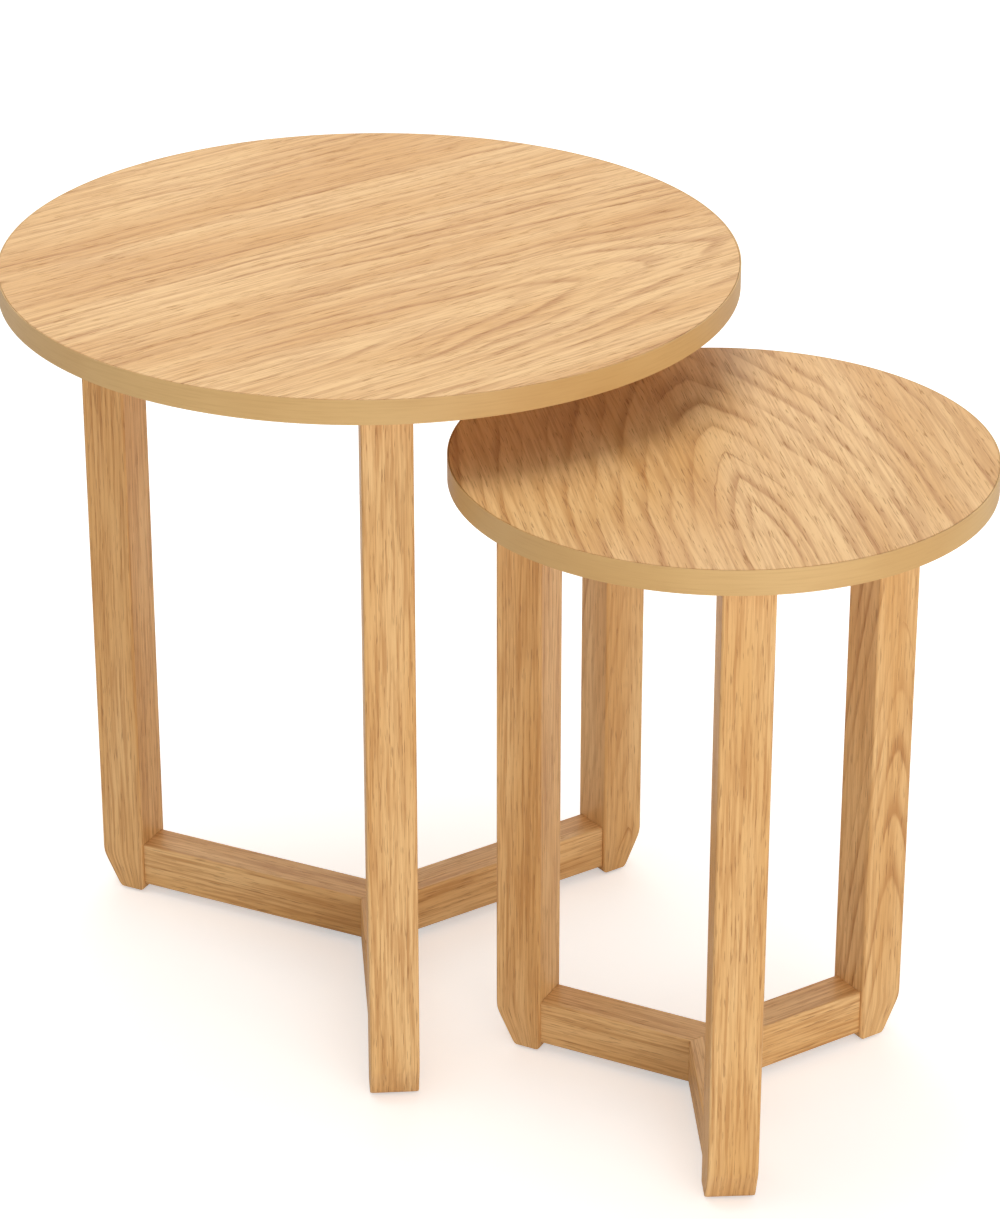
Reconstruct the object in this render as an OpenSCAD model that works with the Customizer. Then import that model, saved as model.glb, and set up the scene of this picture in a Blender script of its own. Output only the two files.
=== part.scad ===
// A set of two round nesting tables in oak. Each has three legs, and three low rails that meet
// in a mitred hub. The smaller table slides under the larger one, between two of its legs.
// +Z is up. The front leg of the larger table points along -Y, and the origin is on the floor,
// under the middle of the box around both tables.

/* [Large table] */
// Diameter of the large top
large_top_d = 500; // [400:1:650]
// Height of the large table, from the floor to its upper face
large_height = 533; // [420:1:650]
// How far the large legs stand in from the rim
large_overhang = 27; // [15:1:60]

/* [Small table] */
// Diameter of the small top
small_top_d = 352; // [290:1:430]
// How far the small legs stand in from the rim
small_overhang = 22; // [12:0.5:50]
// Clear height between the small top and the underside of the large one
under_gap = 43; // [30:0.5:120]
// Gap between the small top's rim and the side of the large front leg
side_gap = 22; // [5:0.5:60]
// How far the small table is pulled forward of the large table's middle
pull_out = 210; // [150:1:420]
// Turn of the small table about its own middle, in degrees
small_turn = -0.9; // [-3:0.1:3]

/* [Tops] */
// Thickness of the particle board
core_t = 16; // [12:0.5:25]
// Thickness of the veneer on each face
veneer_t = 0.4; // [0.3:0.1:1]
// Thickness of the edge band
band_t = 1; // [0.6:0.1:3]
// Rounding of the edge band's corners
band_round = 0.6; // [0.2:0.1:1]

/* [Legs] */
// Width of a leg, across the line to the middle
leg_w = 33.5; // [28:0.5:45]
// Depth of a leg, along the line to the middle
leg_d = 33.5; // [28:0.5:45]
// Rounding of the long edges
leg_round = 2; // [0.5:0.1:4]
// How far the outer foot corner is cut back
foot_cut_d = 14; // [8:0.5:18]
// Height of the outer foot cut
foot_cut_h = 26; // [15:0.5:40]
// Rounding where the foot cut leaves the outer face
foot_cut_round = 25; // [5:1:40]
// Rounding where the foot cut meets the floor
foot_toe_round = 4; // [1:0.5:5]
// Rounding of the inner foot edge
foot_round = 2.8; // [1:0.1:5]
// Diameter of a felt pad
pad_d = 12; // [8:0.5:14]
// Thickness of a felt pad
pad_t = 1.5; // [1:0.5:4]

/* [Rails] */
// Width of a rail
rail_w = 28; // [24:0.5:33]
// Height of a rail's section
rail_h = 33; // [30:0.5:45]
// Height of the rails above the floor
rail_z = 6.5; // [5:0.5:30]
// Rounding of a rail's long edges
rail_round = 1.5; // [0.5:0.1:4]

/* [Hub plate] */
// Reach of each arm, from the middle
plate_reach = 46; // [36:1:60]
// Width of each arm
plate_w = 16; // [12:0.5:20]
// Thickness of the plate
plate_t = 2; // [1.5:0.5:3]
// Distance of the first screw from the middle
plate_screw_first = 17; // [14:1:20]
// Distance between the two screws of one arm
plate_screw_pitch = 20; // [12:1:22]
// Diameter of a screw's shank
screw_d = 3.5; // [3:0.5:4]
// Diameter of a screw's head
screw_head_d = 7; // [6:0.5:8]
// Length of a screw
screw_l = 20; // [14:1:25]

/* [Joint fittings] */
// Distance of a cam bolt's axis from the face that its cam lock is set in
cam_axis = 9.5; // [8:0.5:11]
// Distance of a cam lock from the joint
cam_reach = 24; // [22:1:30]
// Diameter of a cam lock
cam_d = 15; // [12:0.5:16]
// Depth of a cam lock
cam_h = 12.5; // [11:0.5:14]
// Diameter of a cam bolt's shank
bolt_d = 6; // [5:0.5:7]
// Diameter of a cam bolt's thread
bolt_thread_d = 5; // [4:0.5:5]
// Length of a cam bolt's thread
bolt_thread_l = 11; // [9:0.5:12]
// Diameter of a dowel
dowel_d = 8; // [6:0.5:10]
// Distance between a dowel and its cam bolt
dowel_pitch = 14; // [12.5:0.5:15]
// Length of a dowel in the board or leg that it joins to
dowel_host_l = 10; // [8:0.5:12]
// Length of a dowel in the piece that is drilled from its end
dowel_guest_l = 20; // [15:0.5:25]

/* [Clearances] */
// Radial clearance of dowels, bolts and locks in their holes
hole_gap = 0.1; // [0.05:0.05:0.3]
// Air at the bottom of a blind hole
hole_end = 0.5; // [0.3:0.1:1]
// Glue line between the edge band and the board
glue_line = 0.1; // [0.05:0.05:0.3]

/* [Hidden] */
$fn = 96;
SPOKES = [0, 120, 240];
FRONT = 0;
RIGHT = 1;
LEFT = 2;
ARC_STEPS = 6;
ROUND_FN = 48;
// How far a cutting shape reaches past the face that it cuts
SLACK = 1;
// Angle between a rail's middle line and each face of its mitre
HUB_MITRE = 60;
// Width and depth of a cam lock's slot, and the rim left at its two ends
LOCK_SLOT = 1.2;
LOCK_RIM = 2.25;
// Width and depth of the crossed slots in a screw's head
SCREW_SLOT = 0.9;

top_t = core_t + 2 * veneer_t;
large_r = large_top_d / 2;
small_r = small_top_d / 2;
small_height = large_height - top_t - under_gap;
large_leg_r = large_r - large_overhang;
small_leg_r = small_r - small_overhang;

// Place of the small table's middle, seen from the large table's middle
small_dx = leg_w / 2 + side_gap + small_r;
small_dy = -pull_out;

// The large table's middle, so that the origin is under the middle of the whole box
box_x = [min(-large_r, small_dx - small_r), max(large_r, small_dx + small_r)];
box_y = [min(-large_r, small_dy - small_r), max(large_r, small_dy + small_r)];
large_x = -(box_x[0] + box_x[1]) / 2;
large_y = -(box_y[0] + box_y[1]) / 2;

// Cam bolt: a narrow neck and a round head, caught by the lock
BOLT_PLAY = 1;
bolt_neck_d = bolt_d - 2 * BOLT_PLAY;
bolt_neck_l = 4;
bolt_head_l = 3;
bolt_hole_d = bolt_d + 2 * BOLT_PLAY;

// The foot cut's slope, from upright
cut_lean = atan(foot_cut_d / foot_cut_h);

// Colours
OAK = [0.87, 0.71, 0.49];
VENEER = [0.89, 0.73, 0.52];
BAND = [0.83, 0.68, 0.46];
BOARD = [0.72, 0.60, 0.44];
BEECH = [0.85, 0.70, 0.52];
STEEL = [0.75, 0.76, 0.78];
ZINC = [0.62, 0.64, 0.66];
FELT = [0.45, 0.40, 0.34];

// Points along an arc
function arc(middle, r, from, to, steps) =
    [for (i = [0:steps]) middle + r * [
        cos(from + (to - from) * i / steps),
        sin(from + (to - from) * i / steps)
    ]];

// Outline of a rectangle around the origin, with rounded corners
function rounded(w, h, r) = concat(
    arc([w / 2 - r, h / 2 - r], r, 0, 90, ARC_STEPS),
    arc([r - w / 2, h / 2 - r], r, 90, 180, ARC_STEPS),
    arc([r - w / 2, r - h / 2], r, 180, 270, ARC_STEPS),
    arc([w / 2 - r, r - h / 2], r, 270, 360, ARC_STEPS)
);

// Distance from a corner to where a rounding of radius r touches its edges, given the turn there
function tangent_length(r, turn) = r * tan(turn / 2);

// Side view of a leg: x is the distance from the table's middle and y is the height
function leg_outline(outer, bottom, top) =
    let (
        inner = outer - leg_d,
        low = [outer - foot_cut_d, bottom],
        high = [outer, bottom + foot_cut_h],
        toe_arc = [low[0] - tangent_length(foot_toe_round, 90 - cut_lean), bottom + foot_toe_round],
        high_arc = [outer - foot_cut_round, high[1] + tangent_length(foot_cut_round, cut_lean)]
    )
    concat(
        arc([inner + foot_round, bottom + foot_round], foot_round, 180, 270, ARC_STEPS),
        arc(toe_arc, foot_toe_round, -90, -cut_lean, ARC_STEPS),
        arc(high_arc, foot_cut_round, -cut_lean, 0, ARC_STEPS),
        [[outer, top], [inner, top]]
    );

// Puts a table's pieces in their place
module at_large() {
    translate([large_x, large_y, 0]) children();
}

module at_small() {
    translate([large_x + small_dx, large_y + small_dy, 0]) rotate([0, 0, small_turn]) children();
}

// Each piece of a spoke is made along +X, and then turned to where its spoke points
module along_spoke(spoke) {
    rotate([0, 0, SPOKES[spoke] - 90]) children();
}

module on_spokes() {
    for (spoke = [FRONT, RIGHT, LEFT]) along_spoke(spoke) children();
}

// The joint between a leg's top end and the board: +Z goes into the board,
// and +X goes to the leg's inner face
module at_leg_joint(outer, height) {
    translate([outer - leg_d + cam_axis, 0, height - top_t]) rotate([0, 0, 180]) children();
}

// The joint between a rail and a leg: +Z goes into the leg, and +X goes down
module at_rail_joint(outer) {
    translate([outer - leg_d, 0, rail_z + cam_axis]) rotate([0, 90, 0]) children();
}

// Fittings, in the frame of a joint
module cam_bolt() {
    cylinder(d = bolt_thread_d, h = bolt_thread_l, $fn = ROUND_FN);
    translate([0, 0, bolt_neck_l + bolt_head_l / 2 - cam_reach])
        cylinder(d = bolt_d, h = cam_reach - bolt_neck_l - bolt_head_l / 2, $fn = ROUND_FN);
    translate([0, 0, bolt_head_l / 2 - cam_reach])
        cylinder(d = bolt_neck_d, h = bolt_neck_l, $fn = ROUND_FN);
    translate([0, 0, -bolt_head_l / 2 - cam_reach])
        cylinder(d = bolt_d, h = bolt_head_l, $fn = ROUND_FN);
}

module cam_lock() {
    slot_l = cam_d - 2 * LOCK_RIM;
    difference() {
        translate([cam_axis - cam_h, 0, -cam_reach]) rotate([0, 90, 0]) cylinder(d = cam_d, h = cam_h);
        // Mouth that the bolt's head enters by
        translate([0, 0, -cam_reach - bolt_head_l])
            cylinder(d = bolt_hole_d, h = cam_d / 2 + bolt_head_l + SLACK, $fn = ROUND_FN);
        // Slot for the screwdriver
        translate([cam_axis - LOCK_SLOT, -slot_l / 2, -cam_reach - LOCK_SLOT / 2])
            cube([LOCK_SLOT + SLACK, slot_l, LOCK_SLOT]);
    }
}

module dowel() {
    translate([-dowel_pitch, 0, -dowel_guest_l])
        cylinder(d = dowel_d, h = dowel_guest_l + dowel_host_l, $fn = ROUND_FN);
}

// What is drilled into the piece that the bolt is screwed into
module host_holes() {
    cylinder(d = bolt_thread_d + 2 * hole_gap, h = bolt_thread_l + hole_end, $fn = ROUND_FN);
    translate([-dowel_pitch, 0, 0])
        cylinder(d = dowel_d + 2 * hole_gap, h = dowel_host_l + hole_end, $fn = ROUND_FN);
}

// What is drilled into the piece that holds the lock
module guest_holes() {
    translate([0, 0, -cam_reach]) cylinder(d = bolt_hole_d, h = cam_reach + SLACK, $fn = ROUND_FN);
    translate([cam_axis - cam_h - hole_end, 0, -cam_reach])
        rotate([0, 90, 0]) cylinder(d = cam_d + 2 * hole_gap, h = cam_h + hole_end + SLACK);
    translate([-dowel_pitch, 0, -dowel_guest_l - hole_end])
        cylinder(d = dowel_d + 2 * hole_gap, h = dowel_guest_l + hole_end + SLACK, $fn = ROUND_FN);
}

// The countersunk screws of the hub plate
module hub_screw(gap = 0, deeper = 0) {
    head_h = (screw_head_d - screw_d) / 2;
    if (deeper > 0)
        translate([0, 0, -deeper]) cylinder(d = screw_head_d + 2 * gap, h = deeper, $fn = ROUND_FN);
    cylinder(d1 = screw_head_d + 2 * gap, d2 = screw_d + 2 * gap, h = head_h, $fn = ROUND_FN);
    translate([0, 0, head_h / 2])
        cylinder(d = screw_d + 2 * gap, h = screw_l - head_h / 2 + (gap > 0 ? hole_end : 0), $fn = ROUND_FN);
}

module at_hub_screws() {
    for (i = [0, 1]) translate([plate_screw_first + i * plate_screw_pitch, 0, rail_z]) children();
}

// One arm of the hub plate, which may also reach back past the middle
module plate_arm(gap, h, back = 0) {
    straight = plate_reach - plate_w / 2;
    translate([-back, -plate_w / 2 - gap, 0]) cube([back + straight, plate_w + 2 * gap, h]);
    translate([straight, 0, 0]) cylinder(d = plate_w + 2 * gap, h = h, $fn = ROUND_FN);
}

// Pieces of one table, with its middle at the origin
module top_core(top_d, outer, height) {
    color(BOARD) difference() {
        translate([0, 0, height - veneer_t - core_t]) cylinder(d = top_d - 2 * (band_t + glue_line), h = core_t);
        on_spokes() at_leg_joint(outer, height) host_holes();
    }
}

module top_face(top_d, height) {
    color(VENEER) translate([0, 0, height - veneer_t])
        cylinder(d = top_d - 2 * (band_t + glue_line), h = veneer_t);
}

module top_backing(top_d, outer, height) {
    color(VENEER) difference() {
        translate([0, 0, height - top_t]) cylinder(d = top_d - 2 * (band_t + glue_line), h = veneer_t);
        on_spokes() at_leg_joint(outer, height) translate([0, 0, -SLACK]) {
            cylinder(d = bolt_thread_d + 2 * hole_gap, h = veneer_t + 2 * SLACK, $fn = ROUND_FN);
            translate([-dowel_pitch, 0, 0])
                cylinder(d = dowel_d + 2 * hole_gap, h = veneer_t + 2 * SLACK, $fn = ROUND_FN);
        }
    }
}

module edge_band(top_d, height) {
    outer = top_d / 2;
    inner = outer - band_t;
    color(BAND) translate([0, 0, height - top_t]) rotate_extrude()
        polygon(concat(
            [[inner, 0]],
            arc([outer - band_round, band_round], band_round, -90, 0, ARC_STEPS),
            arc([outer - band_round, top_t - band_round], band_round, 0, 90, ARC_STEPS),
            [[inner, top_t]]
        ));
}

module leg(outer, height, spoke) {
    leg_top = height - top_t;
    color(OAK) along_spoke(spoke) difference() {
        intersection() {
            translate([outer - leg_d / 2, 0, pad_t])
                linear_extrude(leg_top - pad_t) polygon(rounded(leg_d, leg_w, leg_round));
            translate([0, leg_w / 2, 0]) rotate([90, 0, 0])
                linear_extrude(leg_w) polygon(leg_outline(outer, pad_t, leg_top));
        }
        at_leg_joint(outer, height) guest_holes();
        at_rail_joint(outer) host_holes();
    }
}

module rail(outer, spoke) {
    reach = outer - leg_d;
    color(OAK) along_spoke(spoke) difference() {
        intersection() {
            translate([0, 0, rail_z + rail_h / 2]) rotate([90, 0, 90])
                linear_extrude(reach) polygon(rounded(rail_w, rail_h, rail_round));
            // The mitre, a wedge that opens by the same angle to both sides
            translate([0, 0, rail_z - SLACK]) linear_extrude(rail_h + 2 * SLACK) polygon([
                [0, 0],
                [reach + SLACK, -(reach + SLACK) * tan(HUB_MITRE)],
                [reach + SLACK, (reach + SLACK) * tan(HUB_MITRE)]
            ]);
        }
        at_rail_joint(outer) guest_holes();
        translate([0, 0, rail_z - SLACK]) plate_arm(hole_gap, plate_t + SLACK, plate_w);
        at_hub_screws() hub_screw(hole_gap);
    }
}

module hub_plate() {
    color(STEEL) along_spoke(FRONT) difference() {
        translate([0, 0, rail_z]) for (turn = SPOKES) rotate([0, 0, turn]) plate_arm(0, plate_t);
        for (turn = SPOKES) rotate([0, 0, turn]) at_hub_screws() hub_screw(hole_gap, SLACK);
    }
}

module hub_screws() {
    color(STEEL) on_spokes() at_hub_screws() difference() {
        hub_screw();
        for (turn = [45, 135]) rotate([0, 0, turn])
            translate([-screw_d / 2, -SCREW_SLOT / 2, -SLACK])
                cube([screw_d, SCREW_SLOT, SLACK + SCREW_SLOT]);
    }
}

module cam_bolts(outer, height) {
    color(STEEL) on_spokes() {
        at_leg_joint(outer, height) cam_bolt();
        at_rail_joint(outer) cam_bolt();
    }
}

module cam_locks(outer, height) {
    color(ZINC) on_spokes() {
        at_leg_joint(outer, height) cam_lock();
        at_rail_joint(outer) cam_lock();
    }
}

module leg_dowels(outer, height) {
    color(BEECH) on_spokes() at_leg_joint(outer, height) dowel();
}

module rail_dowels(outer) {
    color(BEECH) on_spokes() at_rail_joint(outer) dowel();
}

module felt_pads(outer) {
    // The foot's flat is what the rounded inner edge and the outer cut leave
    flat_middle = outer - (leg_d + foot_cut_d) / 2;
    color(FELT) on_spokes() translate([flat_middle, 0, 0]) cylinder(d = pad_d, h = pad_t);
}

// The large table
at_large() top_core(large_top_d, large_leg_r, large_height);  // large_top_core
at_large() top_face(large_top_d, large_height);  // large_top_face
at_large() top_backing(large_top_d, large_leg_r, large_height);  // large_top_backing
at_large() edge_band(large_top_d, large_height);  // large_edge_band
at_large() leg(large_leg_r, large_height, FRONT);  // large_front_leg
at_large() leg(large_leg_r, large_height, RIGHT);  // large_right_leg
at_large() leg(large_leg_r, large_height, LEFT);  // large_left_leg
at_large() rail(large_leg_r, FRONT);  // large_front_rail
at_large() rail(large_leg_r, RIGHT);  // large_right_rail
at_large() rail(large_leg_r, LEFT);  // large_left_rail
at_large() hub_plate();  // large_hub_plate
at_large() hub_screws();  // large_hub_screws
at_large() cam_bolts(large_leg_r, large_height);  // large_cam_bolts
at_large() cam_locks(large_leg_r, large_height);  // large_cam_locks
at_large() leg_dowels(large_leg_r, large_height);  // large_leg_dowels
at_large() rail_dowels(large_leg_r);  // large_rail_dowels
at_large() felt_pads(large_leg_r);  // large_felt_pads

// The small table
at_small() top_core(small_top_d, small_leg_r, small_height);  // small_top_core
at_small() top_face(small_top_d, small_height);  // small_top_face
at_small() top_backing(small_top_d, small_leg_r, small_height);  // small_top_backing
at_small() edge_band(small_top_d, small_height);  // small_edge_band
at_small() leg(small_leg_r, small_height, FRONT);  // small_front_leg
at_small() leg(small_leg_r, small_height, RIGHT);  // small_right_leg
at_small() leg(small_leg_r, small_height, LEFT);  // small_left_leg
at_small() rail(small_leg_r, FRONT);  // small_front_rail
at_small() rail(small_leg_r, RIGHT);  // small_right_rail
at_small() rail(small_leg_r, LEFT);  // small_left_rail
at_small() hub_plate();  // small_hub_plate
at_small() hub_screws();  // small_hub_screws
at_small() cam_bolts(small_leg_r, small_height);  // small_cam_bolts
at_small() cam_locks(small_leg_r, small_height);  // small_cam_locks
at_small() leg_dowels(small_leg_r, small_height);  // small_leg_dowels
at_small() rail_dowels(small_leg_r);  // small_rail_dowels
at_small() felt_pads(small_leg_r);  // small_felt_pads
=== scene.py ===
# %% [markdown]
# # A pair of oak nesting tables
# Two round tables stand together, and the small one slides under the large one. Each has a veneered
# board with a plain plastic edge band, three square oak legs, and three low rails that meet in a hub.
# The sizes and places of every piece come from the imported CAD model, which is loaded first and never
# changed. This script only adds what the eye wants: soft edges, grain, finishes, light and a camera.

# %% Load the frame
import math

import bmesh
import bpy
import numpy as np
from mathutils import Matrix, Vector


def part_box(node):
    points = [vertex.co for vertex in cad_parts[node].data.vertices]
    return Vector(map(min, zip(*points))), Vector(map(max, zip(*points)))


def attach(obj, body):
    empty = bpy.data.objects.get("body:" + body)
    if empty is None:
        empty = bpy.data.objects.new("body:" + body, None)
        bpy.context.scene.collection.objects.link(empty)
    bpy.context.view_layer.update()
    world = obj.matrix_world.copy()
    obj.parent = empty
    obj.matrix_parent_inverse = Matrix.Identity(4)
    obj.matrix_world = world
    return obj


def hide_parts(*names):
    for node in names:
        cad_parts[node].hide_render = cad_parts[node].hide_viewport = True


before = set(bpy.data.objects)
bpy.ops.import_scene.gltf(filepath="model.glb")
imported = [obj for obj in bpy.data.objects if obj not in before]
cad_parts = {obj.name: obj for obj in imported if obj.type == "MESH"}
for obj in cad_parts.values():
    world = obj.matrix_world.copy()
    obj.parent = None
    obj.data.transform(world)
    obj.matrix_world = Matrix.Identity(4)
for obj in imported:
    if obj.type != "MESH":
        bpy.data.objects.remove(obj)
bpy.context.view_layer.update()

# %% [markdown]
# ## Where things are
# Every place below is measured on the CAD pieces. A table's middle is the middle of its top, and each
# leg stands on a spoke, a line from that middle. Both tables get one small record, so that every later
# step can be a loop over the two of them.

# %% Measure the two tables
BODIES = {"large": "large_table", "small": "small_table"}
SPOKES = ("front", "right", "left")


def middle_of(node):
    low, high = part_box(node)
    return (low + high) / 2


def measure_table(size):
    middle = middle_of(size + "_top_face")
    low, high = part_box(size + "_edge_band")
    table = {
        "size": size,
        "body": BODIES[size],
        "middle": Vector((middle.x, middle.y, 0)),
        "radius": (high.x - low.x) / 2,
        "under": low.z,
        "top": high.z,
        "spokes": {},
    }
    for spoke in SPOKES:
        leg = middle_of(f"{size}_{spoke}_leg") - table["middle"]
        table["spokes"][spoke] = math.atan2(leg.y, leg.x)
    return table


tables = [measure_table(size) for size in BODIES]

# %% [markdown]
# ## Camera
# The camera looks down at the tables from standing height, slightly from the left. A long lens from
# more than two metres away keeps the legs nearly parallel. The lens is shifted down a little, as on a
# view camera, so that the legs lean less.

# %% Camera
EYE = Vector((-0.1731, -2.4673, 1.5022))
HEADING = math.radians(4.3)
DOWN = math.radians(25.11)
LENS_MM = 118.64
LENS_SHIFT = -0.0488
SIGHT = 50


def put_in_scene(name, data):
    """A new object that holds this mesh, light or camera."""
    made = bpy.data.objects.new(name, data)
    bpy.context.scene.collection.objects.link(made)
    return made


camera = put_in_scene("camera", bpy.data.cameras.new("camera"))
bpy.context.scene.camera = camera
camera.location = EYE
camera.rotation_euler = (math.pi / 2 - DOWN, 0, -HEADING)
camera.data.lens = LENS_MM
camera.data.shift_y = LENS_SHIFT
camera.data.clip_end = SIGHT
print("camera at", tuple(round(value, 3) for value in EYE), "lens", LENS_MM, "mm")

# %% [markdown]
# ## Node helpers
# Materials and Geometry Nodes are both trees of nodes. A few short functions keep the later cells easy
# to read: one adds a node and fills its inputs, one does a sum and hands back the result, and the rest
# are the handful of steps that almost every tree here needs.

# %% Node helpers
FLOAT = "NodeSocketFloat"
VECTOR = "NodeSocketVector"


def add(tree, kind, inputs=None, **settings):
    """Adds a node. A value that is a socket is linked, and any other value is set."""
    node = tree.nodes.new(kind)
    for name, value in settings.items():
        setattr(node, name, value)
    for name, value in (inputs or {}).items():
        if isinstance(value, bpy.types.NodeSocket):
            tree.links.new(value, node.inputs[name])
        else:
            node.inputs[name].default_value = value
    return node


def calc(tree, operation, *values, clamp=False):
    """One Math node, and its result."""
    inputs = dict(enumerate(values))
    return add(tree, "ShaderNodeMath", inputs, operation=operation, use_clamp=clamp).outputs[0]


def remap(tree, value, low, high, to_low=0.0, to_high=1.0, smooth=True):
    """Fades from one value to another while the input goes from low to high."""
    inputs = {0: value, 1: low, 2: high, 3: to_low, 4: to_high}
    kind = "SMOOTHSTEP" if smooth else "LINEAR"
    return add(tree, "ShaderNodeMapRange", inputs, interpolation_type=kind).outputs[0]


def stretched(tree, place, across, along, deep):
    """The place, squeezed along each axis, for a pattern with long thin spots."""
    inputs = {0: place, 1: (across, along, deep)}
    return add(tree, "ShaderNodeVectorMath", inputs, operation="MULTIPLY").outputs[0]


def vector_of(tree, x, y, z):
    return add(tree, "ShaderNodeCombineXYZ", {0: x, 1: y, 2: z}).outputs[0]


def noise(tree, place, detail=2.0, roughness=0.5):
    inputs = {"Vector": place, "Scale": 1.0, "Detail": detail, "Roughness": roughness}
    return add(tree, "ShaderNodeTexNoise", inputs).outputs["Fac"]


def blend_colours(tree, amount, first, second):
    """The colour sockets of a Mix node are its inputs 6 and 7, and its output 2."""
    inputs = {0: amount, 6: first, 7: second}
    return add(tree, "ShaderNodeMix", inputs, data_type="RGBA", clamp_factor=True).outputs[2]


def paint(red, green, blue):
    """A colour in screen values from 0 to 255, as the linear colour that Blender wants."""
    def linear(value):
        value = value / 255
        return value / 12.92 if value <= 0.04045 else ((value + 0.055) / 1.055) ** 2.4
    return linear(red), linear(green), linear(blue), 1.0


def new_group(name, inputs, outputs, kind="ShaderNodeTree"):
    """A node group with named sockets. Gives the tree, its inputs and its output node."""
    tree = bpy.data.node_groups.new(name, kind)
    for socket, socket_kind, value in inputs:
        made = tree.interface.new_socket(socket, in_out="INPUT", socket_type=socket_kind)
        if value is not None:
            made.default_value = value
    for socket, socket_kind in outputs:
        tree.interface.new_socket(socket, in_out="OUTPUT", socket_type=socket_kind)
    return tree, tree.nodes.new("NodeGroupInput").outputs, tree.nodes.new("NodeGroupOutput")


print("node helpers are ready")

# %% [markdown]
# ## Oak figure
# Wood is a stack of yearly cones round the tree's heart, and a sawn face shows where it cuts them.
# Near the heart the cut gives the pointed arches that a joiner calls a cathedral, and further out it
# gives straight lines. So the group below measures the distance from the heart line, adds the cone's
# taper, and draws one dark, porous line a year. The heart line may lean away from the face, and a
# little extra sharpness brings the arches to a point. Fine fibres and short pores run along the grain
# on top of that. As it is a solid pattern, it also comes out right on cut feet and sawn ends.

# %% Shader group: oak figure
# How often each pattern of the wood repeats in a metre: across the grain, and along it
REPEATS = {
    "bend": (11.0, 3.0), "drift": (7.0, 5.0), "wave": (30.0, 7.0), "ripple": (130.0, 22.0),
    "break": (60.0, 9.0), "fine fibre": (800.0, 20.0), "coarse fibre": (420.0, 12.0),
    "pore": (1300.0, 60.0), "tone": (28.0, 3.5),
}


def grain(tree, place, pattern, detail=2.0, roughness=0.5):
    """Noise drawn out along the grain."""
    across, along = REPEATS[pattern]
    return noise(tree, stretched(tree, place, across, along, across), detail, roughness)


def oak_figure():
    floats = (("Ring Width", 0.006), ("Lean", 0.0), ("Point", 0.0), ("Taper", 0.0),
              ("Wander", 0.01), ("Ripple", 0.3), ("Wave", 0.005))
    tree, given, result = new_group(
        "oak_figure",
        [("Place", VECTOR, None)] + [(n, FLOAT, v) for n, v in floats],
        [(n, FLOAT) for n in ("Ring", "Fibre", "Pore", "Tone")],
    )
    place = given["Place"]
    axes = add(tree, "ShaderNodeSeparateXYZ", {0: place}).outputs

    def wander(pattern, shift):
        moved = add(tree, "ShaderNodeVectorMath", {0: place, 1: shift}, operation="ADD").outputs[0]
        centred = calc(tree, "SUBTRACT", grain(tree, moved, pattern), 0.5)
        return calc(tree, "MULTIPLY", centred, given["Wander"])

    # How far this point is from the heart line
    sideways = calc(tree, "ADD", axes[0], wander("bend", (0.3, 0.9, 0.1)))
    depth = calc(tree, "MULTIPLY_ADD", axes[1], given["Lean"], axes[2])
    squares = calc(tree, "ADD", calc(tree, "POWER", sideways, 2.0), calc(tree, "POWER", depth, 2.0))
    squares = calc(tree, "MULTIPLY_ADD", calc(tree, "ABSOLUTE", sideways), given["Point"], squares)
    tapering = calc(tree, "MULTIPLY_ADD", axes[1], given["Taper"], calc(tree, "SQRT", squares))
    cone = calc(tree, "ADD", tapering, wander("drift", (0.7, 0.2, 0.5)))
    years = calc(tree, "DIVIDE", cone, given["Ring Width"])
    # Fibres and pores wave a little from side to side on their way along
    wave = calc(tree, "SUBTRACT", grain(tree, place, "wave"), 0.5)
    aside = vector_of(tree, calc(tree, "MULTIPLY", wave, given["Wave"]), 0.0, 0.0)
    waved = add(tree, "ShaderNodeVectorMath", {0: place, 1: aside}, operation="ADD").outputs[0]
    ripple = calc(tree, "SUBTRACT", grain(tree, waved, "ripple", 3.0), 0.5)
    years = calc(tree, "MULTIPLY_ADD", ripple, given["Ripple"], years)

    # One porous line a year: it starts sharply, fades slowly, and some years are stronger
    age = calc(tree, "FRACT", years)
    line = calc(tree, "ADD", remap(tree, age, 0.0, 0.5, 1.0, 0.0), remap(tree, age, 0.88, 1.0))
    whole_years = {"W": calc(tree, "FLOOR", years)}
    chosen = add(tree, "ShaderNodeTexWhiteNoise", whole_years, noise_dimensions="1D").outputs["Value"]
    strength = remap(tree, chosen, 0.1, 0.9, 0.25, 1.0)
    broken = remap(tree, grain(tree, place, "break"), 0.34, 0.6, 0.15, 1.0)
    ring = calc(tree, "MULTIPLY", calc(tree, "MULTIPLY", line, strength), broken, clamp=True)

    # Long fibres, and short open pores that crowd into the porous lines
    fine = grain(tree, waved, "fine fibre", 3.0, 0.6)
    coarse = grain(tree, waved, "coarse fibre")
    fibre = calc(tree, "MULTIPLY", calc(tree, "ADD", fine, coarse), 0.5)
    dash = grain(tree, waved, "pore", 1.0)
    open_at = calc(tree, "MULTIPLY_ADD", ring, -0.07, 0.63)
    pore = remap(tree, calc(tree, "SUBTRACT", dash, open_at), 0.0, 0.09)
    tone = grain(tree, place, "tone")

    for name, value in (("Ring", ring), ("Fibre", fibre), ("Pore", pore), ("Tone", tone)):
        tree.links.new(value, result.inputs[name])
    return tree


OAK_FIGURE = oak_figure()
print("oak_figure has", len(OAK_FIGURE.nodes), "nodes")

# %% [markdown]
# ## Handling marks
# Nothing that stands in a room keeps an even gloss: hands and cloths leave faint soft patches. One
# more group makes these, and every finish below adds a little of it to its roughness.

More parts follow.
